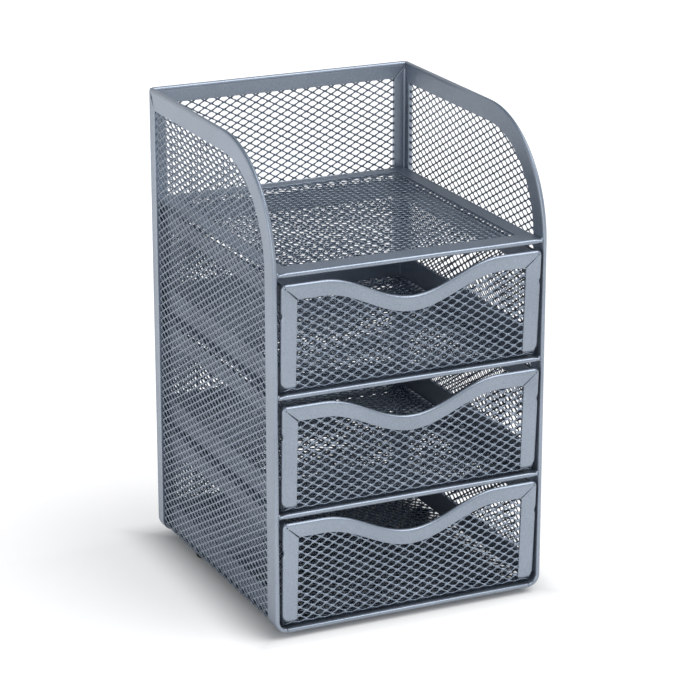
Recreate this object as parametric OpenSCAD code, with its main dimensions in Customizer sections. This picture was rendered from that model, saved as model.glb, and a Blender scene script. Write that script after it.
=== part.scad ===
/* [Body] */
// Width over the side rims
body_w = 135; // [125:1:150]
// Depth from the front hems to the back
body_d = 145; // [135:1:160]
// Height without the feet
body_h = 222; // [216:1:232]
// Radius of the round top front corners
corner_r = 55; // [45:1:60]
// Radius of the bends along the bottom of the sides
base_r = 6; // [5:0.5:7]

/* [Sheet and folded strips] */
// Thickness of the mesh sheet
mesh_t = 0.8; // [0.6:0.1:1]
// Thickness of the strip folded round the side and base sheets
rim_t = 2; // [1.8:0.1:2.4]
// Width of the strip folded round the side and base sheets
rim_w = 10; // [8:0.5:12]
// How much of a folded strip is solid before its slot for the sheet starts
rim_fold = 2.2; // [1.8:0.1:3]
// Width of a strand of the coarse net
net_strand = 3; // [2:0.1:4]

/* [Back frame] */
// Thickness of the back frame
back_t = 2.6; // [2.4:0.1:3]
// Width of a back post, seen from the back
post_w = 7.5; // [7.5:0.5:9]
// Width of a back post, seen from the side
post_d = 7; // [6:0.5:9]
// Height of the top rail of the back
back_rail_h = 8; // [7:0.5:10]

/* [Shelves] */
// Height from one shelf to the next
bay_h = 56.2; // [56:0.1:57]
// Diameter of the rolled front edge of a shelf
bead_d = 2.4; // [2:0.1:2.6]
// Depth of the strip behind the rolled front edge
shelf_rail_d = 11.9; // [9:0.1:14]
// Thickness of the strips round a shelf
strip_t = 1.6; // [1.4:0.1:1.8]
// Width of the strips along the sides and the back of a shelf
strip_w = 7.5; // [6:0.5:9]

/* [Drawers] */
// Height of a drawer front, along its lean
front_h = 48.4; // [46:0.1:48.6]
// Thickness of the frame of a drawer front
front_t = 2; // [1.6:0.1:2.2]
// Lean of a drawer front, top edge forward
front_tilt = 3; // [1:0.5:4]
// How far the foot of a drawer front stands behind the hems
front_recess = 0.8; // [0.4:0.1:1]
// Gap between a drawer front and the side rims
front_gap = 1.3; // [1:0.1:2]
// Width of the strip along the top of a drawer front
front_top_w = 7.3; // [6:0.1:9]
// Width of the strips up the sides of a drawer front
stile_w = 7.7; // [6:0.1:9]
// Depth of the finger dip in a drawer front
dip_h = 13; // [6:0.5:15]
// Width of the finger dip
dip_w = 88; // [60:1:96]
// Height of the strip round the top of the drawer's tub
tub_top_h = 9; // [6:0.5:10]
// Height of the strip round the foot of the drawer's tub
tub_foot_h = 12; // [8:0.5:14]
// Gap between the tub and the side rims
tub_gap = 2; // [1.5:0.1:3]
// Radius where the drawer's front mesh turns under into its floor
front_bend_r = 2.5; // [2:0.1:3]

/* [Feet] */
// Height of a rubber foot below the body
foot_h = 3; // [2:0.5:5]
// Diameter of a rubber foot
foot_d = 9; // [7:0.5:10]
// From the side to the middle of a back foot
back_foot_x = 9.5; // [9:0.5:20]
// From the back to the middle of a back foot
back_foot_y = 38; // [15:1:50]
// From the side to the middle of a front foot
front_foot_x = 20; // [12:1:30]
// From the front hem to the middle of a front foot
front_foot_y = 18; // [16:1:40]

/* [Hidden] */
LEVELS = ["bottom", "middle", "top"];
$fn = 64;

strip_colour = "#a4acb8";
mesh_colour = "#8b94a2";
rubber_colour = "#1c1d20";

// A sheet stops this far short of the end of its slot
slip = 0.3;
// What is left of a side's back strip behind its slot
back_web = 0.8;
// The coarse net runs this far in under the strips
net_tuck = 0.6;
// Clearance under a drawer, on a shelf and on the base
run_gap = 0.5;
base_gap = 0.7;
// Solid top or bottom edge of a strip folded round a shelf or a tub wall
strip_fold = 1.5;
// Solid edge of the frame of a drawer front
front_fold = 2;
// Longer than any cut needs
far = 400;

// The lean carries the top of the drawer fronts forward of the hems
front_proud = front_h * sin(front_tilt) - front_recess;
half_w = body_w / 2;
front_y = (front_proud - body_d) / 2;
back_y = front_y + body_d;
z0 = foot_h;
z_top = z0 + body_h;
// Middle planes of the side sheets and of the back sheet
side_x = half_w - rim_t / 2;
back_mid_y = back_y - back_t / 2;
// Clear width between the side rims, and the inner face of the back frame
inner_x = half_w - rim_t;
inner_back_y = back_y - back_t;
// The side, bend and base sheets share these ends
sheet_front_y = front_y + rim_fold + slip;
sheet_back_y = inner_back_y - slip - back_web;
// Inner corner of the back posts, seen from the side and from the back
post_y = back_y - post_d;
post_x = half_w - post_w;

front_half = inner_x - front_gap;
tub_half = inner_x - tub_gap;
tub_inner = tub_half - strip_t;
tub_back_y = inner_back_y - 1.8;
tub_inner_back_y = tub_back_y - strip_t;
sheet_in = (strip_t - mesh_t) / 2;

function shelf_z(i) = z0 + bay_h * i;
function floor_z(i) = shelf_z(i) + (i == 0 ? rim_t + base_gap : bead_d / 2 + run_gap);
// Foot of the leaning front, where its flat sheet meets the bend into the floor
front_sheet_y = (front_t - mesh_t) / 2;
bend_y = front_sheet_y + front_bend_r;
function front_z(i) = floor_z(i) + front_bend_r - bend_y * sin(front_tilt);
function tub_top_z(i) = front_z(i) + front_h * cos(front_tilt) - 0.6;

// ---------------------------------------------------------------- helpers

// An outline drawn in (y, z), t thick from x = at
module in_yz(at, t) {
    translate([at, 0, 0]) rotate([90, 0, 90]) linear_extrude(t) children();
}

// An outline drawn in (x, z), t thick from y = at
module in_xz(at, t) {
    translate([0, at + t, 0]) rotate([90, 0, 0]) linear_extrude(t) children();
}

module both_sides() {
    children();
    mirror([1, 0, 0]) children();
}

// A flat box between two corners
module span(low, high) {
    translate(low) cube(high - low);
}

module rect(low, high) {
    translate(low) square(high - low);
}

// What a round corner of radius r loses, about the corner's centre
module corner_cut(r) {
    difference() {
        square(r + 1);
        circle(r);
    }
}

// Section of a folded strip: depth along x from its round hem, thickness along y
module rim_section() {
    difference() {
        union() {
            translate([rim_t / 2, 0]) circle(d = rim_t);
            rect([rim_t / 2, -rim_t / 2], [rim_w, rim_t / 2]);
        }
        rect([rim_fold, -mesh_t / 2], [rim_w + 1, mesh_t / 2]);
    }
}

// Rhombic gaps over a window, in rows that step over by half a gap
module net_gaps(low, high, across, up) {
    middle = (low + high) / 2;
    cell = [(high.x - low.x) / across, (high.y - low.y) / up];
    reach = cell / 2 * (1 - net_strand * norm(cell) / (cell.x * cell.y));
    rhomb = [[reach.x, 0], [0, reach.y], [-reach.x, 0], [0, -reach.y]];
    for (i = [-across:across], j = [-up:up])
        if ((abs(i) + abs(j) + across + up) % 2 == 1)
            translate([middle.x + i * cell.x / 2, middle.y + j * cell.y / 2]) polygon(rhomb);
}

// ---------------------------------------------------------------- carcass

// Outline of a side in (y, z), inset from its hem
module side_plate(inset, y_end, z_low) {
    difference() {
        rect([front_y + inset, z_low], [y_end, z_top - inset]);
        translate([front_y + corner_r, z_top - corner_r]) mirror([1, 0]) corner_cut(corner_r - inset);
    }
}

module side_mesh() {
    low = [front_y + rim_w - net_tuck, z0 + base_r + net_tuck];
    high = [post_y + net_tuck, z_top - rim_w + net_tuck];
    color(mesh_colour) in_yz(side_x - mesh_t / 2, mesh_t) difference() {
        side_plate(rim_fold + slip, sheet_back_y, z0 + base_r);
        intersection() {
            net_gaps(low, high, 4, 10);
            side_plate(rim_w - net_tuck, high.x, low.y);
        }
    }
}

// The side sheet turns under into the base
module base_bend() {
    color(mesh_colour) translate([half_w - base_r, sheet_front_y, z0 + base_r])
        rotate([-90, 0, 0]) rotate_extrude(angle = 90)
            translate([base_r - rim_t / 2 - mesh_t / 2, 0]) square([mesh_t, sheet_back_y - sheet_front_y]);
}

// The mitre between a side's top strip and its back post, in (y, z)
mitre_low = [post_y, z_top - rim_w];
mitre_slope = rim_w / post_d;
function mitre_z(y) = mitre_low.y + (y - mitre_low.x) * mitre_slope;

// One strip: round the bottom corner, up the front, round the top corner and back along the top
module side_rim() {
    corner_y = front_y + corner_r;
    color(strip_colour) difference() {
        union() {
            translate([half_w - base_r, front_y, z0 + base_r]) rotate([-90, 0, 0])
                rotate_extrude(angle = 90) translate([base_r - rim_t / 2, 0]) rotate(90) rim_section();
            translate([side_x, front_y, z0 + base_r]) rotate([0, 0, 90])
                linear_extrude(body_h - corner_r - base_r) rim_section();
            translate([side_x, corner_y, z_top - corner_r]) rotate([90, 0, -90])
                rotate_extrude(angle = 90) translate([corner_r, 0]) mirror([1, 0]) rim_section();
            translate([side_x, corner_y, z_top]) rotate([-90, 0, 0])
                linear_extrude(inner_back_y - corner_y) rotate(90) rim_section();
        }
        in_yz(inner_x - 1, rim_t + 2) polygon([
            [post_y - 2, mitre_z(post_y - 2)],
            [inner_back_y + 1, mitre_z(inner_back_y + 1)],
            [inner_back_y + 1, mitre_z(post_y - 2)]
        ]);
    }
}

module base_front_rim() {
    color(strip_colour) translate([base_r - half_w, front_y, z0 + rim_t / 2]) rotate([90, 0, 90])
        linear_extrude(body_w - 2 * base_r) rim_section();
}

module base_mesh() {
    color(mesh_colour) span(
        [base_r - half_w, sheet_front_y, z0 + (rim_t - mesh_t) / 2],
        [half_w - base_r, sheet_back_y, z0 + (rim_t + mesh_t) / 2]
    );
}

// Ends of the back sheet, hidden in the slots of the frame round it
back_sheet_x = post_x + 4.5;
back_sheet_low = z0 + 3;
back_sheet_high = z_top - 2.3;

module back_slot() {
    span(
        [-back_sheet_x - slip, back_mid_y - mesh_t / 2, back_sheet_low - slip],
        [back_sheet_x + slip, back_mid_y + mesh_t / 2, back_sheet_high + slip]
    );
}

module back_mesh() {
    low = [-post_x - net_tuck, z0 + post_w - net_tuck];
    high = [post_x + net_tuck, z_top - back_rail_h + net_tuck];
    color(mesh_colour) in_xz(back_mid_y - mesh_t / 2, mesh_t) difference() {
        rect([-back_sheet_x, back_sheet_low], [back_sheet_x, back_sheet_high]);
        intersection() {
            net_gaps(low, high, 4, 9);
            rect(low, high);
        }
    }
}

// Foot of the mitre between the top rail and a post
mitre_foot_z = z_top - back_rail_h;

module back_top_rail() {
    color(strip_colour) difference() {
        in_yz(-half_w, body_w) union() {
            translate([back_mid_y, z_top - back_t / 2]) circle(d = back_t);
            rect([inner_back_y, mitre_foot_z], [back_y, z_top - back_t / 2]);
        }
        in_xz(inner_back_y - 1, back_t + 2) both_sides() polygon([
            [half_w + 1, z_top + back_rail_h / post_w],
            [half_w + 1, mitre_foot_z - 1],
            [post_x, mitre_foot_z - 1],
            [post_x, mitre_foot_z]
        ]);
        back_slot();
    }
}

module back_bottom_rail() {
    color(strip_colour) difference() {
        in_yz(-post_x, 2 * post_x) union() {
            rect([inner_back_y, z0], [back_y, z0 + post_w]);
            rect([post_y, z0], [back_y, z0 + rim_t]);
        }
        back_slot();
        base_slot();
    }
}

// Slot that takes the back edge of the base sheet
module base_slot() {
    span(
        [-half_w, post_y - 1, z0 + (rim_t - mesh_t) / 2],
        [half_w, sheet_back_y + slip, z0 + (rim_t + mesh_t) / 2]
    );
}

// The upright of the back frame, round at its foot
module back_post() {
    bend_x = half_w - base_r;
    color(strip_colour) difference() {
        in_xz(inner_back_y, back_t) difference() {
            rect([post_x, z0], [half_w, z_top]);
            translate([bend_x, z0 + base_r]) mirror([0, 1]) corner_cut(base_r);
        }
        // Mitre against the top rail
        in_xz(inner_back_y - 1, back_t + 2) polygon([
            [half_w + 1, z_top + back_rail_h / post_w],
            [post_x - 1, mitre_foot_z - back_rail_h / post_w],
            [post_x - 1, z_top + 9]
        ]);
        back_slot();
    }
}

// The strip folded over the back edge of a side, round the bend and on under the base
module side_back_strip() {
    bend_x = half_w - base_r;
    strip_d = inner_back_y - post_y;
    color(strip_colour) difference() {
        union() {
            span([inner_x, post_y, z0 + base_r], [half_w, inner_back_y, z_top]);
            translate([bend_x, post_y, z0 + base_r]) rotate([-90, 0, 0]) rotate_extrude(angle = 90)
                rect([base_r - rim_t, 0], [base_r, strip_d]);
            span([post_x, post_y, z0], [bend_x, inner_back_y, z0 + rim_t]);
        }
        // Mitre against the side's top strip
        in_yz(inner_x - 1, rim_t + 2) polygon([
            [post_y - 1, mitre_z(post_y - 1)],
            [inner_back_y + 1, mitre_z(inner_back_y + 1)],
            [inner_back_y + 1, z_top + 1],
            [post_y - 1, z_top + 1]
        ]);
        base_slot();
        // Slot for the side sheet and its bend
        span(
            [side_x - mesh_t / 2, post_y - 1, z0 + base_r],
            [side_x + mesh_t / 2, sheet_back_y + slip, z_top]
        );
        translate([bend_x, post_y - 1, z0 + base_r]) rotate([-90, 0, 0]) rotate_extrude(angle = 90)
            translate([base_r - rim_t / 2 - mesh_t / 2, 0]) square([mesh_t, sheet_back_y + slip - post_y + 1]);
    }
}

// A rubber button under the base sheet
module foot(x, y) {
    color(rubber_colour) translate([x, y, 0]) cylinder(h = z0 + (rim_t - mesh_t) / 2, d = foot_d);
}

// ---------------------------------------------------------------- shelves

// Ends of a shelf's sheet, hidden in the slots of the strips round it
shelf_sheet_x = inner_x - strip_fold - slip;
shelf_sheet_front_y = front_y + bead_d + 1.9;
shelf_sheet_back_y = inner_back_y - strip_fold - slip;

module shelf_slot(i) {
    span(
        [-shelf_sheet_x - slip, shelf_sheet_front_y - slip, shelf_z(i) - mesh_t / 2],
        [shelf_sheet_x + slip, shelf_sheet_back_y + slip, shelf_z(i) + mesh_t / 2]
    );
}

module shelf_mesh(i) {
    color(mesh_colour) span(
        [-shelf_sheet_x, shelf_sheet_front_y, shelf_z(i) - mesh_t / 2],
        [shelf_sheet_x, shelf_sheet_back_y, shelf_z(i) + mesh_t / 2]
    );
}

// The top shelf carries the tray's floor, as a net
module tray_mesh() {
    low = [strip_w - net_tuck - inner_x, front_y + shelf_rail_d - net_tuck];
    high = [inner_x - strip_w + net_tuck, inner_back_y - strip_w + net_tuck];
    color(mesh_colour) translate([0, 0, shelf_z(3) - mesh_t / 2]) linear_extrude(mesh_t) difference() {
        rect([-shelf_sheet_x, shelf_sheet_front_y], [shelf_sheet_x, shelf_sheet_back_y]);
        intersection() {
            net_gaps(low, high, 3, 5);
            rect(low, high);
        }
    }
}

// Rolled front edge and the flat strip behind it
module shelf_rail(i) {
    bead_y = front_y + bead_d / 2;
    color(strip_colour) difference() {
        in_yz(-inner_x, 2 * inner_x) union() {
            translate([bead_y, shelf_z(i)]) circle(d = bead_d);
            rect([bead_y, shelf_z(i) - strip_t / 2], [front_y + shelf_rail_d, shelf_z(i) + strip_t / 2]);
        }
        shelf_slot(i);
    }
}

module shelf_frame(i) {
    color(strip_colour) difference() {
        translate([0, 0, shelf_z(i) - strip_t / 2]) linear_extrude(strip_t) difference() {
            rect([-inner_x, front_y + shelf_rail_d], [inner_x, inner_back_y]);
            rect([strip_w - inner_x, front_y], [inner_x - strip_w, inner_back_y - strip_w]);
        }
        shelf_slot(i);
    }
}

// ---------------------------------------------------------------- drawers

// The frame of a leaning front: x across, y into the drawer, z up its lean
module on_front(i) {
    translate([0, front_y + front_recess, front_z(i)]) rotate([front_tilt, 0, 0]) children();
}

// All that lies in front of the back face of a drawer front
module before_front(i) {
    on_front(i) span([-far, -far, -far], [far, front_t, far]);
}

function dip(x) = abs(x) < dip_w / 2 ? dip_h * pow(cos(180 * x / dip_w), 2) : 0;

// Points along the dipped top edge, from left to right, lowered and stopped at half
function top_edge(half, lower) = [
    for (step = [-1:1 / 16:1]) [step * half, front_h - lower - dip(step * half)]
];

// A front's outline from z = low up to its dipped edge, inset from the frame's edges
module front_sheet(half, low, lower) {
    polygon(concat(top_edge(half, lower), [[half, low], [-half, low]]));
}

module front_slot() {
    in_xz(front_sheet_y, mesh_t) front_sheet(front_half - front_fold, -1, front_fold);
}

module front_mesh(i) {
    window_x = front_half - stile_w + net_tuck;
    window_top = front_h - front_top_w + net_tuck;
    color(mesh_colour) on_front(i) in_xz(front_sheet_y, mesh_t) difference() {
        front_sheet(front_half - front_fold - slip, 0, front_fold + slip);
        intersection() {
            net_gaps([-window_x, 1], [window_x, window_top], 5, 3);
            front_sheet(window_x, 1, front_top_w - net_tuck);
        }
    }
}

// The strips' round outer corners, in the plane of the front
module front_corners() {
    top_r = 2.5;
    foot_r = 3.5;
    both_sides() {
        translate([front_half - top_r, front_h - top_r]) corner_cut(top_r);
        translate([front_half - foot_r, foot_r]) mirror([0, 1]) corner_cut(foot_r);
    }
}

module front_top_strip(i) {
    lower_edge = top_edge(front_half - stile_w, front_top_w);
    last = len(lower_edge) - 1;
    color(strip_colour) on_front(i) difference() {
        in_xz(0, front_t) difference() {
            polygon(concat(top_edge(front_half, 0), [for (k = [last:-1:0]) lower_edge[k]]));
            front_corners();
        }
        front_slot();
    }
}

module front_side_strip(i) {
    color(strip_colour) on_front(i) difference() {
        in_xz(0, front_t) difference() {
            polygon([
                [front_half, 0],
                [front_half, front_h],
                [front_half - stile_w, front_h - front_top_w],
                [front_half - stile_w, 0]
            ]);
            front_corners();
        }
        front_slot();
    }
}

module drawer_floor(i) {
    z = floor_z(i);
    centre = [front_y + front_recess + bend_y * cos(front_tilt), z + front_bend_r];
    color(mesh_colour) {
        span([-tub_inner, centre.x, z], [tub_inner, tub_inner_back_y, z + mesh_t]);
        translate([-tub_inner, centre.x, centre.y]) mirror([0, 1, 0]) rotate([0, 90, 0])
            rotate_extrude(angle = 90 - front_tilt)
                translate([front_bend_r - mesh_t, 0]) square([mesh_t, 2 * tub_inner]);
    }
}

// A U round the tub in plan, t thick, its outer face in from the tub's
module tub_plan(inset, t) {
    difference() {
        rect([inset - tub_half, front_y - 9], [tub_half - inset, tub_back_y - inset]);
        rect([inset + t - tub_half, front_y - 10], [tub_half - inset - t, tub_back_y - inset - t]);
    }
}

// The strip folded over the top edge of the tub's walls
module edge_strip(i) {
    low = tub_top_z(i) - tub_top_h;
    color(strip_colour) difference() {
        translate([0, 0, low]) linear_extrude(tub_top_h) tub_plan(0, strip_t);
        translate([0, 0, low - 1]) linear_extrude(tub_top_h + 1 - strip_fold) tub_plan(sheet_in, mesh_t);
        before_front(i);
    }
}

// The strip round the foot of the tub's walls, bevelled to clear the bends under the sides
module foot_strip(i) {
    z = floor_z(i);
    bevel = strip_fold;
    side_bevel = [[tub_half - bevel - 1, z - 1], [tub_half + 1, z + bevel + 1], [tub_half + 1, z - 1]];
    back_bevel = [[tub_back_y - bevel - 1, z - 1], [tub_back_y + 1, z + bevel + 1], [tub_back_y + 1, z - 1]];
    color(strip_colour) difference() {
        translate([0, 0, z]) linear_extrude(tub_foot_h) tub_plan(0, strip_t);
        translate([0, 0, z + strip_fold]) linear_extrude(tub_foot_h) tub_plan(sheet_in, mesh_t);
        both_sides() in_xz(front_y - 9, body_d + 9) polygon(side_bevel);
        in_yz(-half_w, body_w) polygon(back_bevel);
        before_front(i);
    }
}

module side_wall(i) {
    outer = tub_half - sheet_in;
    color(mesh_colour) difference() {
        span(
            [outer - mesh_t, front_y - front_proud, floor_z(i) + strip_fold + slip],
            [outer, tub_back_y - sheet_in - mesh_t, tub_top_z(i) - strip_fold - slip]
        );
        before_front(i);
    }
}

module back_wall(i) {
    outer = tub_half - sheet_in;
    outer_y = tub_back_y - sheet_in;
    color(mesh_colour) span(
        [-outer, outer_y - mesh_t, floor_z(i) + strip_fold + slip],
        [outer, outer_y, tub_top_z(i) - strip_fold - slip]
    );
}

// ---------------------------------------------------------------- assembly

mirror([1, 0, 0]) side_mesh();  // left_side_mesh
side_mesh();  // right_side_mesh
back_mesh();
base_mesh();
mirror([1, 0, 0]) base_bend();  // left_base_bend
base_bend();  // right_base_bend
mirror([1, 0, 0]) side_rim();  // left_side_rim
side_rim();  // right_side_rim
base_front_rim();
back_top_rail();
back_bottom_rail();
mirror([1, 0, 0]) back_post();  // left_back_post
back_post();  // right_back_post
mirror([1, 0, 0]) side_back_strip();  // left_side_back_strip
side_back_strip();  // right_side_back_strip
foot(front_foot_x - half_w, front_y + front_foot_y);  // foot_front_left
foot(half_w - front_foot_x, front_y + front_foot_y);  // foot_front_right
foot(back_foot_x - half_w, back_y - back_foot_y);  // foot_back_left
foot(half_w - back_foot_x, back_y - back_foot_y);  // foot_back_right
shelf_mesh(1);  // lower_shelf_mesh
shelf_rail(1);  // lower_shelf_rail
shelf_frame(1);  // lower_shelf_frame
shelf_mesh(2);  // upper_shelf_mesh
shelf_rail(2);  // upper_shelf_rail
shelf_frame(2);  // upper_shelf_frame
tray_mesh();
shelf_rail(3);  // tray_rail
shelf_frame(3);  // tray_frame
for (i = [0:2]) {
    drawer = str(LEVELS[i], "_drawer_");
    drawer_floor(i);
    mirror([1, 0, 0]) side_wall(i);
    side_wall(i);
    back_wall(i);
    foot_strip(i);
    edge_strip(i);
    front_mesh(i);
    front_top_strip(i);
    mirror([1, 0, 0]) front_side_strip(i);
    front_side_strip(i);
}
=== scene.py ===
import math

import bmesh
import bpy
from mathutils import Matrix, Vector


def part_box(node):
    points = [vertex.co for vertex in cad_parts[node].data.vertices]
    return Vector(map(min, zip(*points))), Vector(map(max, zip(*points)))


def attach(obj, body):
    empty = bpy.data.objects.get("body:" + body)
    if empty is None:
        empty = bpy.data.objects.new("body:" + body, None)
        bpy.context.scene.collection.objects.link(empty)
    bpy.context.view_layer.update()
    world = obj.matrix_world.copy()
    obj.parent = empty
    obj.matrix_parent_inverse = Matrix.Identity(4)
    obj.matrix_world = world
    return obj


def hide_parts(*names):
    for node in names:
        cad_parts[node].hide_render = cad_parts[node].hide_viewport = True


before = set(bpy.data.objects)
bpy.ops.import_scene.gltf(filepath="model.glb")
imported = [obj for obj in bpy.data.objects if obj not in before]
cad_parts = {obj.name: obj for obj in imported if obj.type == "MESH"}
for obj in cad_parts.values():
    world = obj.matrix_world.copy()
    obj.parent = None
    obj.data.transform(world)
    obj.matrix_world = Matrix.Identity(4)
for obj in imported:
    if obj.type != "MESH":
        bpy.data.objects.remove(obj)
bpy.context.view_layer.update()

# ---------------------------------------------------------------- base sheet with its two bends
# One sheet of expanded steel, slit and stretched into rows of rhombic openings and powder coated
# silver grey. It is the floor of the body, and turns up at both sides into the side sheets.

MM = 0.001
BODY_CELL = (6.9 * MM, 3.64 * MM)
STRAND_W = 0.42 * MM
STRAND_T = 0.45 * MM
STRAND_LEAN = 0.27 * MM
ACUTE_PULL = 0.4 * MM
OBTUSE_PULL = 0.12 * MM
CORNER_FROM = 0.35
ON_PLANE = 0.01 * MM
HIDDEN_SIDE = 5 * MM
HIDDEN_BACK = 3.75 * MM
FLECK_SCALE = 1500
DRIFT_SCALE = 26
PEEL_SCALE = 620
FLECK_SHARE = 0.75
DRIFT_SHARE = 0.55
TONE_SHIFT = 0.15
PEEL_STRENGTH = 0.35
FLECK_HEIGHT = 0.4
DRIFT_ROUGH = 0.12
FLECK_ROUGH = 0.06


class Tone:
    """A value in a shader. Plain sums on it add Math nodes."""

    def __init__(self, tree, socket=None):
        self.tree = tree
        self.socket = socket

    def node(self, kind, settings, sockets, output=0):
        """Adds a node, sets it up, then fills or links its sockets. Gives one of its outputs."""
        made = self.tree.nodes.new("ShaderNode" + kind)
        for name, value in settings.items():
            if name == "stops":
                elements = made.color_ramp.elements
                for k, (place, colour) in enumerate(value):
                    stop = elements[k] if k < 2 else elements.new(place)
                    stop.position = place
                    stop.color = colour
            else:
                setattr(made, name, value)
        for name, value in sockets.items():
            if isinstance(value, Tone):
                self.tree.links.new(value.socket, made.inputs[name])
            else:
                made.inputs[name].default_value = value
        return Tone(self.tree, made.outputs[output] if made.outputs else None)

    def sum(self, operation, first, second):
        """One Math node."""
        return self.node("Math", {"operation": operation}, {0: first, 1: second})

    def __add__(self, other):
        return self.sum("ADD", self, other)

    def __radd__(self, other):
        return self.sum("ADD", other, self)

    def __sub__(self, other):
        return self.sum("SUBTRACT", self, other)

    def __rsub__(self, other):
        return self.sum("SUBTRACT", other, self)

    def __mul__(self, other):
        return self.sum("MULTIPLY", self, other)

    def __rmul__(self, other):
        return self.sum("MULTIPLY", other, self)


def new_shade(name):
    """An empty material, and a Tone to build its nodes from."""
    material = bpy.data.materials.new(name)
    material.use_nodes = True
    material.node_tree.nodes.clear()
    return material, Tone(material.node_tree)


def noise(shade, place, scale, detail, roughness):
    """Noise in the object's own coordinates, its scale in waves to the metre."""
    sockets = {"Vector": place, "Scale": scale, "Detail": detail, "Roughness": roughness}
    return shade.node("TexNoise", {}, sockets)


def powder_coat(name, dark, light, metal, rough, grain):
    """Silver-grey powder coat: fine flecks of metal, a slow drift of tone, and orange-peel bump."""
    material, shade = new_shade(name)
    place = shade.node("TexCoord", {}, {}, "Object")
    flecks = noise(shade, place, FLECK_SCALE, detail=2, roughness=0.6)
    drift = noise(shade, place, DRIFT_SCALE, detail=3, roughness=0.55)
    peel = noise(shade, place, PEEL_SCALE, detail=2, roughness=0.5)
    amount = flecks * FLECK_SHARE + drift * DRIFT_SHARE - TONE_SHIFT
    colour = shade.node(
        "Mix", {"data_type": "RGBA", "clamp_factor": True},
        {0: amount, 6: (*dark, 1), 7: (*light, 1)}, 2,
    )
    height = flecks * FLECK_HEIGHT + peel
    bump = shade.node("Bump", {}, {"Strength": PEEL_STRENGTH, "Distance": grain, "Height": height})
    coat = shade.node(
        "BsdfPrincipled", {},
        {
            "Base Color": colour,
            "Metallic": metal,
            "Roughness": rough + drift * DRIFT_ROUGH - flecks * FLECK_ROUGH,
            "Normal": bump,
        },
    )
    shade.node("OutputMaterial", {}, {"Surface": coat})
    return material


# Darker than the strip coat, though sheets and strips share one paint: painted shade meant for the
# dim inside of the body and drawers, which darkens the outer sheets too.
shade_darkened_sheet_coat = powder_coat(
    "shade_darkened_sheet_coat", dark=(0.115, 0.142, 0.185), light=(0.375, 0.427, 0.505),
    metal=1.0, rough=0.25, grain=0.03 * MM,
)


def expanded_sheet(cell_size, low, high, keep=None):
    """Flat expanded sheet over a window in (x, y), outer face up, its lattice set on the origin."""
    long, short = cell_size
    middle = (Vector(low) + Vector(high)) / 2
    across = (high[0] - low[0]) / long + (high[1] - low[1]) / short
    count = 2 * math.ceil(across / 2 + 1)
    bm = bmesh.new()
    bmesh.ops.create_grid(bm, x_segments=count, y_segments=count, size=count / 2)
    on_lattice = Vector((round(middle.x / long) * long, round(middle.y / short) * short, 0))
    stretch = Matrix.Diagonal((long / math.sqrt(2), short / math.sqrt(2), 1, 1))
    place = Matrix.Translation(on_lattice) @ stretch @ Matrix.Rotation(math.pi / 4, 4, "Z")
    bmesh.ops.transform(bm, matrix=place, verts=bm.verts[:])

    def outside(cell):
        at = cell.calc_center_median()
        in_window = low[0] < at.x < high[0] and low[1] < at.y < high[1]
        return not in_window or (keep and not keep(at.x, at.y))

    bmesh.ops.delete(bm, geom=[cell for cell in bm.faces if outside(cell)], context="FACES")
    bmesh.ops.bisect_edges(bm, edges=bm.edges[:], cuts=1)
    cells = bm.faces[:]
    bmesh.ops.inset_individual(bm, faces=cells, thickness=STRAND_W / 2, use_even_offset=True)
    for cell in cells:
        at = cell.calc_center_median()
        for corner in cell.verts:
            reach = corner.co - at
            if abs(reach.x) > CORNER_FROM * long:
                corner.co.x -= math.copysign(ACUTE_PULL, reach.x)
            if abs(reach.y) > CORNER_FROM * short:
                corner.co.y -= math.copysign(OBTUSE_PULL, reach.y)
            corner.co.z += STRAND_LEAN * reach.y / (short / 2)
    bmesh.ops.delete(bm, geom=cells, context="FACES")
    return bm


def trim(bm, point, outward, part=None):
    """Cuts off what lies beyond a plane. Corners that lie almost on it count as on it."""
    geom = part or bm.verts[:] + bm.edges[:] + bm.faces[:]
    bmesh.ops.bisect_plane(
        bm, geom=geom, dist=ON_PLANE, plane_co=point, plane_no=outward, clear_outer=True
    )


def made_object(name, bm, coat):
    """A smooth-shaded object of one material in the scene."""
    mesh = bpy.data.meshes.new(name)
    bm.to_mesh(mesh)
    bm.free()
    mesh.polygons.foreach_set("use_smooth", [True] * len(mesh.polygons))
    mesh.materials.append(coat)
    made = bpy.data.objects.new(name, mesh)
    bpy.context.scene.collection.objects.link(made)
    return made


def sheet_object(name, bm):
    """A piece of expanded sheet, given its thickness."""
    made = made_object(name, bm, shade_darkened_sheet_coat)
    thickness = made.modifiers.new("thickness", "SOLIDIFY")
    thickness.thickness = STRAND_T
    thickness.offset = 0
    return made


half_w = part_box("right_side_rim")[1].x
front_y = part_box("right_side_rim")[0].y
z_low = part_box("right_side_rim")[0].z
z_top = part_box("right_side_rim")[1].z
inner_back_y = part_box("back_top_rail")[0].y
back_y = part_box("back_top_rail")[1].y
RIM_T = 2 * MM
BASE_BEND_R = 6 * MM
bend_mid_r = BASE_BEND_R - RIM_T / 2
base_flat = half_w - BASE_BEND_R
side_start = base_flat + bend_mid_r * math.pi / 2

bm = expanded_sheet(
    BODY_CELL, (front_y + HIDDEN_SIDE, -side_start - BODY_CELL[1]),
    (back_y - HIDDEN_BACK, side_start + BODY_CELL[1]),
)
trim(bm, (0, side_start, 0), (0, 1, 0))
trim(bm, (0, -side_start, 0), (0, -1, 0))
for vert in bm.verts:
    along, across, out = vert.co
    turn = max(abs(across) - base_flat, 0) / bend_mid_r
    reach = bend_mid_r + out
    x = min(abs(across), base_flat) + reach * math.sin(turn)
    z = z_low + RIM_T / 2 + bend_mid_r - reach * math.cos(turn)
    vert.co = (math.copysign(x, across), along, z)
base_sheet = sheet_object("base_sheet", bm)
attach(base_sheet, "carcass")
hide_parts("base_mesh", "left_base_bend", "right_base_bend")

# ---------------------------------------------------------------- side sheets
# The same expanded steel, standing up from the bends. The front top corner is cut to a round
# that the rim follows, and the front, top and back edges run into the folded strips.

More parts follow.
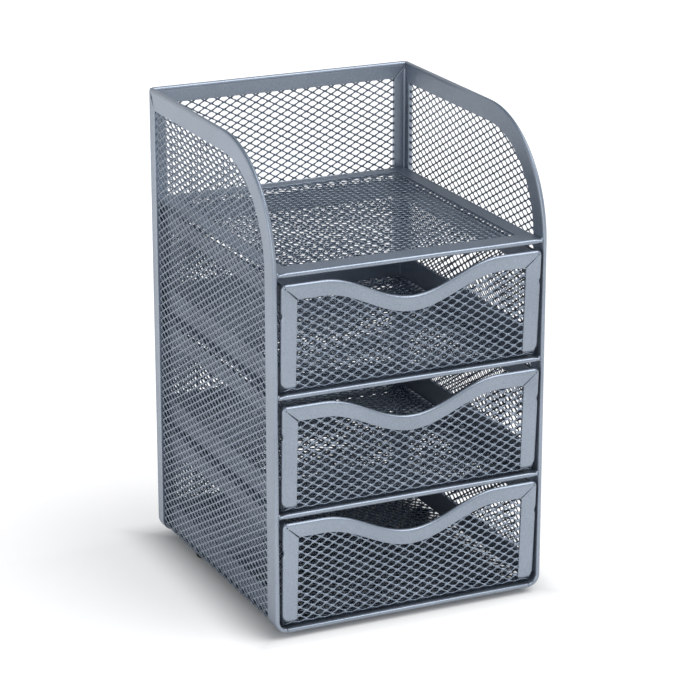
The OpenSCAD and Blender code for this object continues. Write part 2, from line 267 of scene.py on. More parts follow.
CORNER_R = 55 * MM
side_x = half_w - RIM_T / 2
corner_y = front_y + CORNER_R
corner_z = z_top - CORNER_R
side_foot = z_low + BASE_BEND_R
sheet_top = side_start + z_top - side_foot


def put(bm, *rows):
    """Sets a mesh in its place by the first three rows of a matrix."""
    bmesh.ops.transform(bm, matrix=Matrix((*rows, (0, 0, 0, 1))), verts=bm.verts[:])


for name, side in (("left", -1), ("right", 1)):

    def under_the_round(along, up):
        y = side * along
        z = up - side_start + side_foot
        if y > corner_y or z < corner_z:
            return True
        return math.hypot(y - corner_y, z - corner_z) < CORNER_R - HIDDEN_SIDE

    ends = sorted((side * (front_y + HIDDEN_SIDE), side * (back_y - HIDDEN_BACK)))
    bm = expanded_sheet(
        BODY_CELL, (ends[0], side_start - BODY_CELL[1]), (ends[1], sheet_top - HIDDEN_SIDE),
        under_the_round,
    )
    trim(bm, (0, side_start, 0), (0, -1, 0))
    put(bm, (0, 0, side, side * side_x), (side, 0, 0, 0), (0, 1, 0, side_foot - side_start))
    side_sheet = sheet_object(name + "_side_sheet", bm)
    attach(side_sheet, "carcass")
    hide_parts(name + "_side_mesh")

# ---------------------------------------------------------------- side rims
# A strip of steel folded double over the edge of each side sheet, its fold rolled round. It comes
# from under the base, up the front, round the corner and back along the top to a mitre.

strip_coat = powder_coat(
    "strip_coat", dark=(0.19, 0.222, 0.272), light=(0.415, 0.468, 0.545),
    metal=0.85, rough=0.38, grain=0.045 * MM,
)


def section(*corners):
    """The closed outline of a strip's section, each corner given as (x, y, radius)."""
    bm = bmesh.new()
    points = [bm.verts.new((x, y, 0)) for x, y, radius in corners]
    bm.faces.new(points)
    for point, (x, y, radius) in zip(points, corners):
        if radius:
            bmesh.ops.bevel(
                bm, geom=[point], affect="VERTICES", offset=radius,
                segments=4, profile=0.5, material=-1,
            )
    bmesh.ops.delete(bm, geom=bm.faces[:], context="FACES_ONLY")
    return bm


def both_faces(*corners):
    """The outline of a strip from the corners of its lower face; the upper one mirrors them."""
    return section(*corners, *[(x, -y, radius) for x, y, radius in reversed(corners)])


FULL_ROUND = 0.98
CRISP = 0.2 * MM
EASED = 0.1 * MM
FLAT_SUNK = 0.1 * MM
CREASE_AT = 0.62
CREASE_DEEP = 0.28 * MM
CREASE_NEAR = 0.15 * MM
CREASE_FAR = 0.3 * MM


def folded_section(width, thick):
    """Round at the fold, x = 0, then a fine crease, the flat, and crisp at the two cut edges."""
    half = thick / 2
    crease_x = thick * CREASE_AT
    crease = half - CREASE_DEEP
    flat = half - FLAT_SUNK
    return both_faces(
        (0, -half, half * FULL_ROUND), (crease_x - CREASE_NEAR, -half, EASED),
        (crease_x, -crease, 0), (crease_x + CREASE_FAR, -flat, EASED), (width, -flat, CRISP),
    )


def draw_out(bm, *legs):
    """Carries an outline along straight runs (x, y, z) and turns (centre, axis, angle, steps)."""
    end = bm.edges[:]
    for leg in legs:
        if len(leg) == 3:
            made = bmesh.ops.extrude_edge_only(bm, edges=end)["geom"]
            verts = [v for v in made if isinstance(v, bmesh.types.BMVert)]
            bmesh.ops.translate(bm, vec=leg, verts=verts)
        else:
            centre, axis, angle, steps = leg
            corners = list(dict.fromkeys(v for e in end for v in e.verts))
            made = bmesh.ops.spin(
                bm, geom=corners + end, cent=centre, axis=axis,
                angle=angle, steps=steps, use_merge=False,
            )["geom_last"]
            verts = [v for v in made if isinstance(v, bmesh.types.BMVert)]
        end = [e for e in bm.edges if e.verts[0] in verts and e.verts[1] in verts]


def close_ends(bm):
    """Caps every open end and turns all faces outward."""
    rim = [e for e in bm.edges if e.is_boundary]
    if rim:
        bmesh.ops.holes_fill(bm, edges=rim, sides=0)
    bmesh.ops.recalc_face_normals(bm, faces=bm.faces[:])
    if bm.calc_volume(signed=True) < 0:
        bmesh.ops.reverse_faces(bm, faces=bm.faces[:])


def handed(bm, side):
    """Turns a right-hand part into the left-hand one."""
    if side < 0:
        bmesh.ops.scale(bm, vec=(-1, 1, 1), verts=bm.verts[:])
        bmesh.ops.reverse_faces(bm, faces=bm.faces[:])


def strip_object(name, bm):
    """A folded strip, its flats kept flat and its rounds smooth."""
    made = made_object(name, bm, strip_coat)
    shade = made.modifiers.new("flats", "WEIGHTED_NORMAL")
    shade.keep_sharp = True
    return made


RIM_W = 10 * MM
POST_D = 7 * MM
MITRE_GAP = 0.14 * MM
PAST_ROUND = 2 * MM
BEND_STEPS = 8
ROUND_STEPS = 28
post_y = back_y - POST_D

for name, side in (("left", -1), ("right", 1)):
    bm = folded_section(RIM_W, RIM_T)
    put(bm, (0, 0, 1, base_flat), (1, 0, 0, front_y), (0, 1, 0, z_low + RIM_T / 2))
    draw_out(
        bm,
        ((base_flat, 0, side_foot), (0, 1, 0), -math.pi / 2, BEND_STEPS),
        (0, 0, corner_z - side_foot),
        ((0, corner_y, corner_z), (1, 0, 0), -math.pi / 2, ROUND_STEPS),
        (0, inner_back_y - corner_y, 0),
    )
    top_run = [f for f in bm.faces if f.calc_center_median().y > corner_y + PAST_ROUND]
    top_verts = [v for v in bm.verts if any(f in top_run for f in v.link_faces)]
    top_edges = [e for e in bm.edges if any(f in top_run for f in e.link_faces)]
    top_geom = top_verts + top_edges + top_run
    trim(bm, (0, post_y - MITRE_GAP, z_top - RIM_W), (0, RIM_W, -POST_D), top_geom)
    close_ends(bm)
    handed(bm, side)
    side_rim = strip_object(name + "_rim", bm)
    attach(side_rim, "carcass")
    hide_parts(name + "_side_rim")

# ---------------------------------------------------------------- base front rim
# The same folded strip along the front edge of the base sheet, between the two bends. Its fold
# runs on from the folds of both side rims.

bm = folded_section(RIM_W, RIM_T)
put(bm, (0, 0, 1, -base_flat), (1, 0, 0, front_y), (0, 1, 0, z_low + RIM_T / 2))
draw_out(bm, (2 * base_flat, 0, 0))
close_ends(bm)
base_rim = strip_object("base_rim", bm)
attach(base_rim, "carcass")
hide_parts("base_front_rim")

# ---------------------------------------------------------------- back sheet
# A flat panel of expanded steel, the long diagonals of its openings level. Its edges are hidden
# in the folded frame round the back.

BACK_CELL = (6.6 * MM, 3.6 * MM)
back_t = back_y - inner_back_y
bm = expanded_sheet(
    BACK_CELL, (-half_w + HIDDEN_BACK, z_low + HIDDEN_BACK),
    (half_w - HIDDEN_BACK, z_top - HIDDEN_BACK),
)
put(bm, (-1, 0, 0, 0), (0, 0, 1, back_y - back_t / 2), (0, 1, 0, 0))
back_sheet = sheet_object("back_sheet", bm)
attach(back_sheet, "carcass")
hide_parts("back_mesh")

# ---------------------------------------------------------------- back top rail
# A strip folded over the top of the back sheet, its fold rolled into a round edge, mitred to the
# posts at both ends.

BACK_RAIL_H = 8 * MM
POST_W = 7.5 * MM
BACK_CORNER_R = 2.2 * MM
EASED_CUT = 0.75 * MM
EASE_IN = 0.22 * MM
EASE_OUT = 0.5 * MM
SLANT = 0.3
MANY_CORNERS = 8
post_x = half_w - POST_W
corner_steps = [0.7 * MM] * 4


def ease_mitres(bm):
    """Eases the edges of the slanted end faces, so that two of them meet in a fine groove."""
    caps = [f for f in bm.faces if len(f.verts) > MANY_CORNERS]
    slanted = [f for f in caps if min(abs(f.normal.x), abs(f.normal.z)) > SLANT]
    bmesh.ops.inset_individual(
        bm, faces=slanted, thickness=EASE_IN, depth=EASE_OUT, use_even_offset=True
    )


def round_corner(bm, side, up, at_x, at_z, radius):
    """Rounds a square corner of an upright frame; side and up say which way it points."""
    centre_x = at_x - radius
    centre_z = at_z - up * radius
    for vert in bm.verts:
        x = side * vert.co.x - centre_x
        z = up * (vert.co.z - centre_z)
        if x > 0 and z > 0:
            shrink = max(x, z) / math.hypot(x, z)
            vert.co.x = side * (centre_x + x * shrink)
            vert.co.z = centre_z + up * z * shrink


bm = folded_section(BACK_RAIL_H, back_t)
put(bm, (0, 0, 1, -half_w), (0, 1, 0, back_y - back_t / 2), (-1, 0, 0, z_top))
middle = 2 * half_w - 2 * sum(corner_steps)
draw_out(bm, *[(step, 0, 0) for step in corner_steps + [middle] + corner_steps])
for side in (-1, 1):
    cut_at = (side * (post_x - EASED_CUT), 0, z_top - BACK_RAIL_H)
    trim(bm, cut_at, (side * BACK_RAIL_H, 0, -POST_W))
close_ends(bm)
ease_mitres(bm)
for side in (-1, 1):
    round_corner(bm, side, 1, half_w, z_top, BACK_CORNER_R)
top_rail = strip_object("top_rail", bm)
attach(top_rail, "carcass")
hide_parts("back_top_rail")

# ---------------------------------------------------------------- back posts
# The uprights of the back frame, folded over the side edges of the back sheet and rolled round at
# the outer edge. Each meets the side in a small rolled bead up the inner corner.


def joined(parts):
    """One mesh of several closed parts."""
    bm = bmesh.new()
    for part in parts:
        part_mesh = bpy.data.meshes.new("part")
        part.to_mesh(part_mesh)
        part.free()
        bm.from_mesh(part_mesh)
        bpy.data.meshes.remove(part_mesh)
    return bm


BEAD_R = 0.95 * MM
BEAD_SUNK = 0.25 * MM
BEAD_BELOW_TOP = 3.4 * MM
foot_steps = [0.8 * MM] * 8

for name, side in (("left", -1), ("right", 1)):
    upright = folded_section(POST_W, back_t)
    put(upright, (-1, 0, 0, half_w), (0, 1, 0, back_y - back_t / 2), (0, 0, 1, z_low))
    middle = z_top - z_low - sum(foot_steps) - sum(corner_steps)
    draw_out(upright, *[(0, 0, step) for step in foot_steps + [middle] + corner_steps])
    trim(upright, (post_x + EASED_CUT, 0, z_top - BACK_RAIL_H), (-BACK_RAIL_H, 0, POST_W))
    close_ends(upright)
    ease_mitres(upright)
    round_corner(upright, 1, 1, half_w, z_top, BACK_CORNER_R)
    round_corner(upright, 1, -1, half_w, z_low, BASE_BEND_R)

    bead = bmesh.new()
    bmesh.ops.create_circle(bead, cap_ends=False, segments=12, radius=BEAD_R)
    bead_foot = Vector((half_w - RIM_T - BEAD_SUNK, inner_back_y - BEAD_SUNK, z_low + RIM_T))
    bmesh.ops.translate(bead, vec=bead_foot, verts=bead.verts[:])
    draw_out(bead, (0, 0, z_top - BEAD_BELOW_TOP - bead_foot.z))
    close_ends(bead)

    bm = joined([upright, bead])
    handed(bm, side)
    post = strip_object(name + "_post", bm)
    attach(post, "carcass")
    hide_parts(name + "_back_post")

# ---------------------------------------------------------------- side back strips
# The strip folded over the back edge of each side sheet. It runs round the bottom bend with the
# sheet and a little way under the base.

CUT_EDGE_R = 0.25 * MM

for name, side in (("left", -1), ("right", 1)):
    bm = both_faces((0, -RIM_T / 2, CUT_EDGE_R), (inner_back_y - post_y, -RIM_T / 2, 0))
    put(bm, (0, 0, 1, post_x), (1, 0, 0, post_y), (0, 1, 0, z_low + RIM_T / 2))
    draw_out(
        bm,
        (base_flat - post_x, 0, 0),
        ((base_flat, 0, side_foot), (0, 1, 0), -math.pi / 2, BEND_STEPS),
        (0, 0, z_top - side_foot),
    )
    trim(bm, (0, post_y + MITRE_GAP, z_top - RIM_W), (0, -RIM_W, POST_D))
    close_ends(bm)
    handed(bm, side)
    back_strip = strip_object(name + "_back_strip", bm)
    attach(back_strip, "carcass")
    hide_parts(name + "_side_back_strip")

# ---------------------------------------------------------------- back bottom rail
# An angle of folded steel along the foot of the back, between the posts. One leg holds the foot
# of the back sheet, the other reaches forward and holds the back edge of the base sheet.

OUTER_BEND_R = 1.2 * MM
LEG_EDGE_R = 0.3 * MM
bm = section(
    (post_y, z_low, CRISP), (back_y, z_low, OUTER_BEND_R), (back_y, z_low + POST_W, LEG_EDGE_R),
    (inner_back_y, z_low + POST_W, LEG_EDGE_R), (inner_back_y, z_low + RIM_T, 0),
    (post_y, z_low + RIM_T, CRISP),
)
put(bm, (0, 0, 1, -post_x), (1, 0, 0, 0), (0, 1, 0, 0))
draw_out(bm, (2 * post_x, 0, 0))
close_ends(bm)
bottom_rail = strip_object("bottom_rail", bm)
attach(bottom_rail, "carcass")
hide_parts("back_bottom_rail")

# ---------------------------------------------------------------- feet
# Four black rubber buttons under the base sheet, one near each corner. Each is moulded in one
# piece, with a soft lower edge.

FOOT_R = 4.5 * MM
FOOT_EDGE_R = 1.1 * MM
FOOT_TOP_R = 0.3 * MM
GRAIN_SCALE = 900
SMEAR_SCALE = 120
GRAIN_DEEP = 0.05 * MM
GRAIN_STRENGTH = 0.3
GRAIN_ROUGH = 0.25
RUBBER_ROUGH = 0.55
DARK_RUBBER = (0.011, 0.011, 0.012, 1)
PALE_RUBBER = (0.024, 0.024, 0.026, 1)
rubber, shade = new_shade("black_rubber")
place = shade.node("TexCoord", {}, {}, "Object")
grain = noise(shade, place, GRAIN_SCALE, detail=3, roughness=0.6)
smear = noise(shade, place, SMEAR_SCALE, detail=2, roughness=0.5)
tint = shade.node("ValToRGB", {"stops": [(0.3, DARK_RUBBER), (0.7, PALE_RUBBER)]}, {0: smear})
bump = shade.node(
    "Bump", {}, {"Strength": GRAIN_STRENGTH, "Distance": GRAIN_DEEP, "Height": grain}
)
rough = RUBBER_ROUGH + grain * GRAIN_ROUGH
skin = shade.node("BsdfPrincipled", {}, {"Base Color": tint, "Roughness": rough, "Normal": bump})
shade.node("OutputMaterial", {}, {"Surface": skin})

for corner in ("front_left", "front_right", "back_left", "back_right"):
    low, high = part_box("foot_" + corner)
    centre = (low + high) / 2
    bm = section((0, 0, 0), (FOOT_R, 0, FOOT_EDGE_R), (FOOT_R, high.z, FOOT_TOP_R), (0, high.z, 0))
    stand_up = Matrix.Rotation(math.pi / 2, 3, "X")
    bmesh.ops.rotate(bm, cent=(0, 0, 0), matrix=stand_up, verts=bm.verts[:])
    bmesh.ops.spin(
        bm, geom=bm.verts[:] + bm.edges[:], cent=(0, 0, 0), axis=(0, 0, 1),
        angle=math.tau, steps=32, use_merge=True,
    )
    bmesh.ops.remove_doubles(bm, verts=bm.verts[:], dist=ON_PLANE / 10)
    bmesh.ops.delete(bm, geom=[e for e in bm.edges if not e.link_faces], context="EDGES")
    bmesh.ops.recalc_face_normals(bm, faces=bm.faces[:])
    bmesh.ops.translate(bm, vec=(centre.x, centre.y, 0), verts=bm.verts[:])
    foot = made_object("rubber_" + corner, bm, rubber)
    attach(foot, "carcass")
    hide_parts("foot_" + corner)

# ---------------------------------------------------------------- shelves and tray
# Three equal shelves, of which the highest is the open tray. Each is expanded sheet in a flat
# frame of strip, with its front edge rolled into a bead, spot-welded between the sides.

inner_x = half_w - RIM_T
BEAD_D = 2.4 * MM
RAIL_D = 11.9 * MM
STRIP_T = 1.6 * MM
STRIP_W = 7.5 * MM
NECK = 0.35 * MM
NECK_R = 0.5 * MM
WELD_R = 1.4 * MM
WELD_SHAPE = (0.7, 0.8, 1)
WELD_SUNK = 0.25 * MM
WELD_BACK = 1.3 * MM
WELD_UP = 0.15 * MM
PINCH = 0.35
PINCH_STEPS = [0.8 * MM] * 6
SHEET_FROM = RAIL_D * 0.6
bead_r = BEAD_D / 2
leg_run = inner_back_y - front_y - RAIL_D
left_back = Vector((-inner_x, inner_back_y, 0))
right_back = Vector((inner_x, inner_back_y, 0))
along_side = Vector((0, -MITRE_GAP, 0))
along_back = Vector((MITRE_GAP, 0, 0))

for name in ("lower_shelf", "upper_shelf", "tray"):
    low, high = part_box(name + "_frame")
    shelf_z = (low.z + high.z) / 2

    bm = expanded_sheet(
        BODY_CELL, (-inner_x + STRIP_W / 2, front_y + SHEET_FROM),
        (inner_x - STRIP_W / 2, inner_back_y - STRIP_W / 2),
    )
    bmesh.ops.translate(bm, vec=(0, 0, shelf_z), verts=bm.verts[:])
    shelf_sheet = sheet_object(name + "_sheet", bm)
    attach(shelf_sheet, "carcass")
    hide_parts(name + "_mesh")

    bm = both_faces(
        (0, -bead_r, bead_r * FULL_ROUND), (BEAD_D, -bead_r, NECK_R),
        (BEAD_D + NECK, -STRIP_T / 2, 0), (RAIL_D, -STRIP_T / 2, CRISP),
    )
    put(bm, (0, 0, 1, -inner_x), (1, 0, 0, front_y), (0, 1, 0, shelf_z))
    middle = 2 * inner_x - 2 * sum(PINCH_STEPS)
    draw_out(bm, *[(step, 0, 0) for step in PINCH_STEPS + [middle] + PINCH_STEPS])
    close_ends(bm)
    for vert in bm.verts:
        near_end = 1 - (inner_x - abs(vert.co.x)) / sum(PINCH_STEPS)
        if near_end > 0 and vert.co.y < front_y + BEAD_D:
            vert.co.z -= PINCH * (vert.co.z - shelf_z) * math.sin(near_end * math.pi / 2) ** 2
    nuggets = []
    for side in (-1, 1):
        nugget = bmesh.new()
        bmesh.ops.create_uvsphere(nugget, u_segments=12, v_segments=8, radius=WELD_R)
        bmesh.ops.scale(nugget, vec=WELD_SHAPE, verts=nugget.verts[:])
        weld_at = (side * (inner_x - WELD_SUNK), front_y + WELD_BACK, shelf_z + WELD_UP)
        bmesh.ops.translate(nugget, vec=weld_at, verts=nugget.verts[:])
        nuggets.append(nugget)
    bm = joined([bm] + nuggets)
    shelf_rail = strip_object(name + "_bead", bm)
    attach(shelf_rail, "carcass")
    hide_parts(name + "_rail")

    legs = []
    for x, y, run, turn, cuts in (
        (-inner_x, front_y + RAIL_D, leg_run, 0, [(left_back + along_side, (1, 1, 0))]),
        (inner_x, inner_back_y, leg_run, 2, [(right_back + along_side, (-1, 1, 0))]),
        (
            -inner_x, inner_back_y, 2 * inner_x, 3,
            [(left_back + along_back, (-1, -1, 0)), (right_back - along_back, (1, -1, 0))],
        ),
    ):
        leg = folded_section(STRIP_W, STRIP_T)
        # Outline in (x, z), drawn out along y, then turned round the vertical to its side
        put(leg, (1, 0, 0, 0), (0, 0, 1, 0), (0, 1, 0, 0))
        draw_out(leg, (0, run, 0))
        spin = Matrix.Translation((x, y, shelf_z)) @ Matrix.Rotation(turn * math.pi / 2, 4, "Z")
        bmesh.ops.transform(leg, matrix=spin, verts=leg.verts[:])
        for point, outward in cuts:
            trim(leg, point, outward)
        close_ends(leg)
        legs.append(leg)
    bm = joined(legs)
    shelf_frame = strip_object(name + "_strips", bm)
    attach(shelf_frame, "carcass")
    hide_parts(name + "_frame")

# ---------------------------------------------------------------- drawers
# Three equal drawers that slide on the shelves. One expanded sheet is the floor and turns up into
# the leaning front; a second one is the walls, its top and foot edges folded into strips.

DRAWER_CELL = (6.5 * MM, 3.95 * MM)
LEAN = math.radians(3)
FRONT_RECESS = 0.8 * MM
FRONT_H = 48.4 * MM
FRONT_T = 2 * MM
FRONT_TOP_W = 7.3 * MM
STILE_W = 7.7 * MM
FRONT_BEND_R = 2.5 * MM
DENT_Z = FRONT_H - 14.5 * MM
DENT_H = 2.4 * MM
DENT_IN = 0.5 * MM
DENT_REACH = 1.4 * MM
SLOT_T = 0.8 * MM
DIP_H = 13 * MM
DIP_W = 88 * MM
DIP_STEPS = 44
FRONT_GAP = 1.3 * MM
FRONT_TOP_R = 2.5 * MM
FRONT_FOOT_R = 3.5 * MM
stile_foot_steps = [0.9 * MM] * 4
TUB_T = 1.6 * MM
TUB_GAP = 2 * MM
TUB_BACK_GAP = 1.8 * MM
TUB_DROP = 0.6 * MM
TUB_TURN_R = 2 * MM
TUB_TURN_STEPS = 5
TUB_TOP_H = 9 * MM
TUB_FOOT_H = 12 * MM
TUB_CUT_R = 0.15 * MM
TUB_OVERRUN = 9 * MM
long, short = DRAWER_CELL
front_foot_y = front_y + FRONT_RECESS
front_half = inner_x - FRONT_GAP
tub_half = inner_x - TUB_GAP
tub_back_y = inner_back_y - TUB_BACK_GAP
floor_half = tub_half - TUB_T
wall_x = tub_half - TUB_T / 2
wall_y = tub_back_y - TUB_T / 2
turn_x = tub_half - TUB_TURN_R
turn_y = tub_back_y - TUB_TURN_R
tub_start = front_y - TUB_OVERRUN
sheet_y = (FRONT_T - SLOT_T) / 2
bend_y = sheet_y + FRONT_BEND_R
front_bend_mid_r = FRONT_BEND_R - SLOT_T / 2


def dip(x):
    """How far the finger dip lowers the front's top edge."""
    return DIP_H * math.cos(math.pi * x / DIP_W) ** 2 if abs(x) < DIP_W / 2 else 0


def front_section(width):
    """Crowned face, rolled outer edge at x = 0, crisp cut edge against the mesh."""
    rolled_edge = (0, 0.32 * MM, 1.15 * MM)
    crown = (width * 0.3, 0, 0)
    fall = (width * 0.62, 0.07 * MM, 0)
    cut_edge = (width, 0.5 * MM, 0.25 * MM)
    cut_edge_behind = (width, FRONT_T - 0.2 * MM, 0.2 * MM)
    rolled_edge_behind = (0, FRONT_T, 0.45 * MM)
    return section(rolled_edge, crown, fall, cut_edge, cut_edge_behind, rolled_edge_behind)


def spot_dent(bm):
    """The small dent that a spot weld leaves in a stile's rolled outer edge."""
    for vert in bm.verts:
        past = abs(vert.co.z - DENT_Z) / DENT_H
        if past < 1 and vert.co.x > front_half - DENT_REACH:
            vert.co.x -= DENT_IN * math.cos(past * math.pi / 2) ** 2


for level in ("bottom", "middle", "top"):
    drawer = level + "_drawer"
    floor_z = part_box(drawer + "_floor")[0].z
    front_z = floor_z + FRONT_BEND_R - bend_y * math.sin(LEAN)
    tub_top_z = front_z + FRONT_H * math.cos(LEAN) - TUB_DROP
    bend_at = Vector((0, front_foot_y + bend_y * math.cos(LEAN), floor_z + FRONT_BEND_R))
    on_front = Matrix.Translation((0, front_foot_y, front_z)) @ Matrix.Rotation(LEAN, 4, "X")

    # Floor, with the bend up into the front
    quarter = math.pi / 2 - LEAN
    arc = front_bend_mid_r * quarter
    run = tub_back_y - TUB_T - bend_at.y
    bm = expanded_sheet(
        DRAWER_CELL, (-floor_half - long, -arc - run - short), (floor_half + long, short)
    )
    trim(bm, (0, 0, 0), (0, 1, 0))
    trim(bm, (0, -arc - run, 0), (0, -1, 0))
    trim(bm, (floor_half, 0, 0), (1, 0, 0))
    trim(bm, (-floor_half, 0, 0), (-1, 0, 0))
    for vert in bm.verts:
        across, up, out = vert.co
        turn = LEAN + min(-up / front_bend_mid_r, quarter)
        reach = front_bend_mid_r + out
        back = max(-up - arc, 0)
        y = bend_at.y - reach * math.cos(turn) + back
        vert.co = (across, y, bend_at.z - reach * math.sin(turn))
    drawer_floor = sheet_object(drawer + "_floor_sheet", bm)
    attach(drawer_floor, drawer)
    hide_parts(drawer + "_floor")

    # Front sheet
    bm = expanded_sheet(
        DRAWER_CELL, (-front_half + STILE_W / 2, -short), (front_half - STILE_W / 2, FRONT_H),
        lambda x, up: up < FRONT_H - FRONT_TOP_W / 2 - dip(x),
    )
    trim(bm, (0, 0, 0), (0, -1, 0))
    place = Matrix(((1, 0, 0, 0), (0, 0, -1, sheet_y + SLOT_T / 2), (0, 1, 0, 0), (0, 0, 0, 1)))
    bmesh.ops.transform(bm, matrix=on_front @ place, verts=bm.verts[:])
    front_sheet = sheet_object(drawer + "_front_sheet", bm)
    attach(front_sheet, drawer)
    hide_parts(drawer + "_front_mesh")

    # Dipped top strip of the front, mitred to the stiles
    straight = (2 * front_half - 2 * sum(corner_steps)) / DIP_STEPS
    bm = front_section(FRONT_TOP_W)
    put(bm, (0, 0, 1, -front_half), (0, 1, 0, 0), (-1, 0, 0, FRONT_H))
    steps = corner_steps + [straight] * DIP_STEPS + corner_steps
    draw_out(bm, *[(step, 0, 0) for step in steps])
    for side in (-1, 1):
        cut_at = (side * (front_half - STILE_W - EASED_CUT), 0, FRONT_H - FRONT_TOP_W)
        trim(bm, cut_at, (side * FRONT_TOP_W, 0, -STILE_W))
    close_ends(bm)
    ease_mitres(bm)
    for side in (-1, 1):
        round_corner(bm, side, 1, front_half, FRONT_H, FRONT_TOP_R)
    for vert in bm.verts:
        vert.co.z -= dip(vert.co.x)
    bmesh.ops.transform(bm, matrix=on_front, verts=bm.verts[:])
    top_strip = strip_object(drawer + "_front_top", bm)
    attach(top_strip, drawer)
    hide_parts(drawer + "_front_top_strip")

    # Stiles of the front
    for name, side in (("left", -1), ("right", 1)):
        bm = front_section(STILE_W)
        put(bm, (-1, 0, 0, front_half), (0, 1, 0, 0), (0, 0, 1, 0))
        dent_steps = [DENT_H / 4] * 8
        below_dent = DENT_Z - DENT_H - sum(stile_foot_steps)
        above_dent = FRONT_H - DENT_Z - DENT_H - sum(corner_steps)
        steps = stile_foot_steps + [below_dent] + dent_steps + [above_dent] + corner_steps
        draw_out(bm, *[(0, 0, step) for step in steps])
        cut_at = (front_half - STILE_W + EASED_CUT, 0, FRONT_H - FRONT_TOP_W)
        trim(bm, cut_at, (-FRONT_TOP_W, 0, STILE_W))
        close_ends(bm)
        ease_mitres(bm)
        spot_dent(bm)
        round_corner(bm, 1, 1, front_half, FRONT_H, FRONT_TOP_R)
        round_corner(bm, 1, -1, front_half, 0, FRONT_FOOT_R)
        handed(bm, side)
        bmesh.ops.transform(bm, matrix=on_front, verts=bm.verts[:])
        stile = strip_object(drawer + "_" + name + "_stile", bm)
        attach(stile, drawer)
        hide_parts(drawer + "_front_" + name + "_strip")

    # Wall sheets, hidden at top and foot in the strips
    wall_low = floor_z + TUB_FOOT_H / 2
    wall_high = tub_top_z - TUB_TOP_H / 2
    front_plane = on_front @ Vector((0, FRONT_T, 0))
    front_out = on_front.to_3x3() @ Vector((0, -1, 0))
    for name, side in (("left", -1), ("right", 1)):
        ends = sorted((side * (front_y - long), side * wall_y))
        bm = expanded_sheet(DRAWER_CELL, (ends[0], wall_low), (ends[1], wall_high))
        put(bm, (0, 0, side, side * wall_x), (side, 0, 0, 0), (0, 1, 0, 0))
        trim(bm, (0, wall_y, 0), (0, 1, 0))
        trim(bm, front_plane, front_out)
        wall = sheet_object(drawer + "_" + name + "_wall_sheet", bm)
        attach(wall, drawer)
        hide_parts(drawer + "_" + name + "_wall")
    bm = expanded_sheet(DRAWER_CELL, (-wall_x - long, wall_low), (wall_x + long, wall_high))
    trim(bm, (wall_x, 0, 0), (1, 0, 0))
    trim(bm, (-wall_x, 0, 0), (-1, 0, 0))
    put(bm, (-1, 0, 0, 0), (0, 0, 1, wall_y), (0, 1, 0, 0))
    back_wall = sheet_object(drawer + "_back_wall_sheet", bm)
    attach(back_wall, drawer)
    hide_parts(drawer + "_back_wall")

    # Strips folded along the top and the foot of the walls
    for name, node, fold_z, height, up in (
        ("_tub_edge", "_edge_strip", tub_top_z, TUB_TOP_H, -1),
        ("_tub_foot", "_foot_strip", floor_z, TUB_FOOT_H, 1),
    ):
        bm = both_faces((0, -TUB_T / 2, TUB_T / 2 * FULL_ROUND), (height, -TUB_T / 2, TUB_CUT_R))
        put(bm, (0, 1, 0, -wall_x), (0, 0, 1, tub_start), (up, 0, 0, fold_z))
        draw_out(
            bm,
            (0, turn_y - tub_start, 0),
            ((-turn_x, turn_y, 0), (0, 0, 1), -math.pi / 2, TUB_TURN_STEPS),
            (2 * turn_x, 0, 0),
            ((turn_x, turn_y, 0), (0, 0, 1), -math.pi / 2, TUB_TURN_STEPS),
            (0, tub_start - turn_y, 0),
        )
        trim(bm, front_plane, front_out)
        close_ends(bm)
        tub_strip = strip_object(drawer + name, bm)
        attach(tub_strip, drawer)
        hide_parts(drawer + node)

# ---------------------------------------------------------------- floor, light and camera
#  A white floor under white surroundings that turn grey overhead, one large soft lamp high
# on the right in front and a weaker, lower one on the left.
# Round the object's footprint the floor's glow fades out into a painted shadow.

DULL_WHITE = (0.73, 0.73, 0.73, 1)
PALE_WHITE = (0.75, 0.75, 0.75, 1)
CLOUD_SCALE = 3
FLOOR_LIFT = 0.5
# Where the painted shadow round the object is full, and where it ends.
PAINTED_SHADOW_INNER = 58 * MM
PAINTED_SHADOW_OUTER = 90 * MM
FLOOR_HALF = 6


def seen_rays(shade):
    """One on the rays that show the surroundings: seen directly, off a shine, or through."""
    straight = shade.node("LightPath", {}, {}, "Is Camera Ray")
    shine = shade.node("LightPath", {}, {}, "Is Glossy Ray")
    through = shade.node("LightPath", {}, {}, "Is Transmission Ray")
    return shade.node("Math", {"operation": "MINIMUM"}, {0: straight + shine + through, 1: 1.0})


floor_shade, shade = new_shade("studio_floor")
place = shade.node("TexCoord", {}, {}, "Object")
cloud = noise(shade, place, CLOUD_SCALE, detail=1, roughness=0.4)
tint = shade.node("Mix", {"data_type": "RGBA"}, {0: cloud, 6: DULL_WHITE, 7: PALE_WHITE}, 2)
matt = shade.node("BsdfDiffuse", {}, {"Color": tint})
# Painted shadow: the floor's glow fades out towards the object and is gone under its footprint.
spread = shade.node("VectorMath", {"operation": "ABSOLUTE"}, {0: place})
across = shade.node("SeparateXYZ", {}, {0: spread}, 0)
along = shade.node("SeparateXYZ", {}, {0: spread}, 1)
away = shade.node("Math", {"operation": "MAXIMUM"}, {0: across, 1: along})
lift_outside_painted_shadow = shade.node(
    "MapRange", {"interpolation_type": "SMOOTHSTEP"}, {0: away, 1: PAINTED_SHADOW_INNER, 2: PAINTED_SHADOW_OUTER}
)
lift = shade.node("Emission", {}, {"Color": (1, 1, 1, 1), "Strength": FLOOR_LIFT})
lifted = shade.node("AddShader", {}, {0: matt, 1: lift})
floor_mix = shade.node("MixShader", {}, {0: seen_rays(shade) * lift_outside_painted_shadow, 1: matt, 2: lifted})
shade.node("OutputMaterial", {}, {"Surface": floor_mix})
bm = bmesh.new()
bmesh.ops.create_grid(bm, x_segments=1, y_segments=1, size=FLOOR_HALF)
studio_floor = made_object("studio_floor", bm, floor_shade)

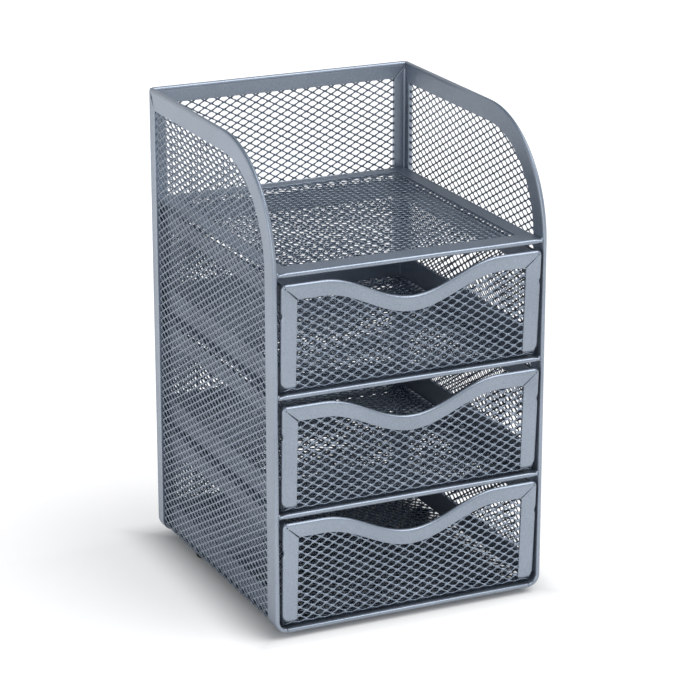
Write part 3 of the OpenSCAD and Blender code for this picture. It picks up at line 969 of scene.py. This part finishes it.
WALL_TOP = 0.12
CEILING_FROM = 0.5
WALLS = {"Color": (1, 1, 1, 1), "Strength": 1.0}
CEILING = {"Color": (0.7, 0.84, 1, 1), "Strength": 0.34}
GLOW = {"Color": (0.96, 0.98, 1, 1), "Strength": 0.28}

world = bpy.data.worlds.new("studio")
bpy.context.scene.world = world
world.use_nodes = True
world.node_tree.nodes.clear()
sky = Tone(world.node_tree)
white = sky.node("Background", {}, WALLS)
grey = sky.node("Background", {}, CEILING)
direction = sky.node("TexCoord", {}, {}, "Object")
height = sky.node("SeparateXYZ", {}, {0: direction}, 2)
overhead = sky.node(
    "MapRange", {"interpolation_type": "SMOOTHSTEP"}, {0: height, 1: WALL_TOP, 2: CEILING_FROM}
)
room = sky.node("MixShader", {}, {0: overhead, 1: white, 2: grey})
glow = sky.node("Background", {}, GLOW)
sky_mix = sky.node("MixShader", {}, {0: seen_rays(sky), 1: glow, 2: room})
sky.node("OutputWorld", {}, {"Surface": sky_mix})


def soft_lamp(name, toward, spread, strength, tint):
    """A sun with a wide disc, its spread in degrees, which lights object and floor evenly."""
    lamp = bpy.data.lights.new(name, "SUN")
    lamp.angle = math.radians(spread)
    lamp.energy = strength
    lamp.color = tint
    made = bpy.data.objects.new(name, lamp)
    bpy.context.scene.collection.objects.link(made)
    made.rotation_euler = Vector(toward).to_track_quat("-Z", "Y").to_euler()


soft_lamp("key_lamp", toward=(-0.4, 0.32, -0.9), spread=48, strength=2.0, tint=(1, 1, 1))
soft_lamp("side_lamp", toward=(1, 0.6, -0.4), spread=55, strength=0.9, tint=(0.97, 0.985, 1))

YAW = math.radians(25.13)
PITCH = math.radians(18.49)
CAMERA_DIST = 1359 * MM
FOCAL_PIXELS = 2895
IMAGE_PIXELS = 700
FILM_W = 36
AIM_H = 111 * MM
AIM_RIGHT = 2.79 * MM
AIM_DOWN = 6.4 * MM
level = math.cos(PITCH)
forward = Vector((math.sin(YAW) * level, math.cos(YAW) * level, -math.sin(PITCH)))
rightward = Vector((math.cos(YAW), -math.sin(YAW), 0))
upward = rightward.cross(forward)
body_middle = Vector((0, (front_y + back_y) / 2, z_low + AIM_H))
aim = body_middle + rightward * AIM_RIGHT - upward * AIM_DOWN
lens = bpy.data.cameras.new("camera")
lens.sensor_width = FILM_W
lens.lens = lens.sensor_width * FOCAL_PIXELS / IMAGE_PIXELS
camera = bpy.data.objects.new("camera", lens)
bpy.context.scene.collection.objects.link(camera)
camera.location = aim - forward * CAMERA_DIST
camera.rotation_euler = forward.to_track_quat("-Z", "Y").to_euler()
bpy.context.scene.camera = camera
bpy.context.scene.view_settings.view_transform = "Standard"
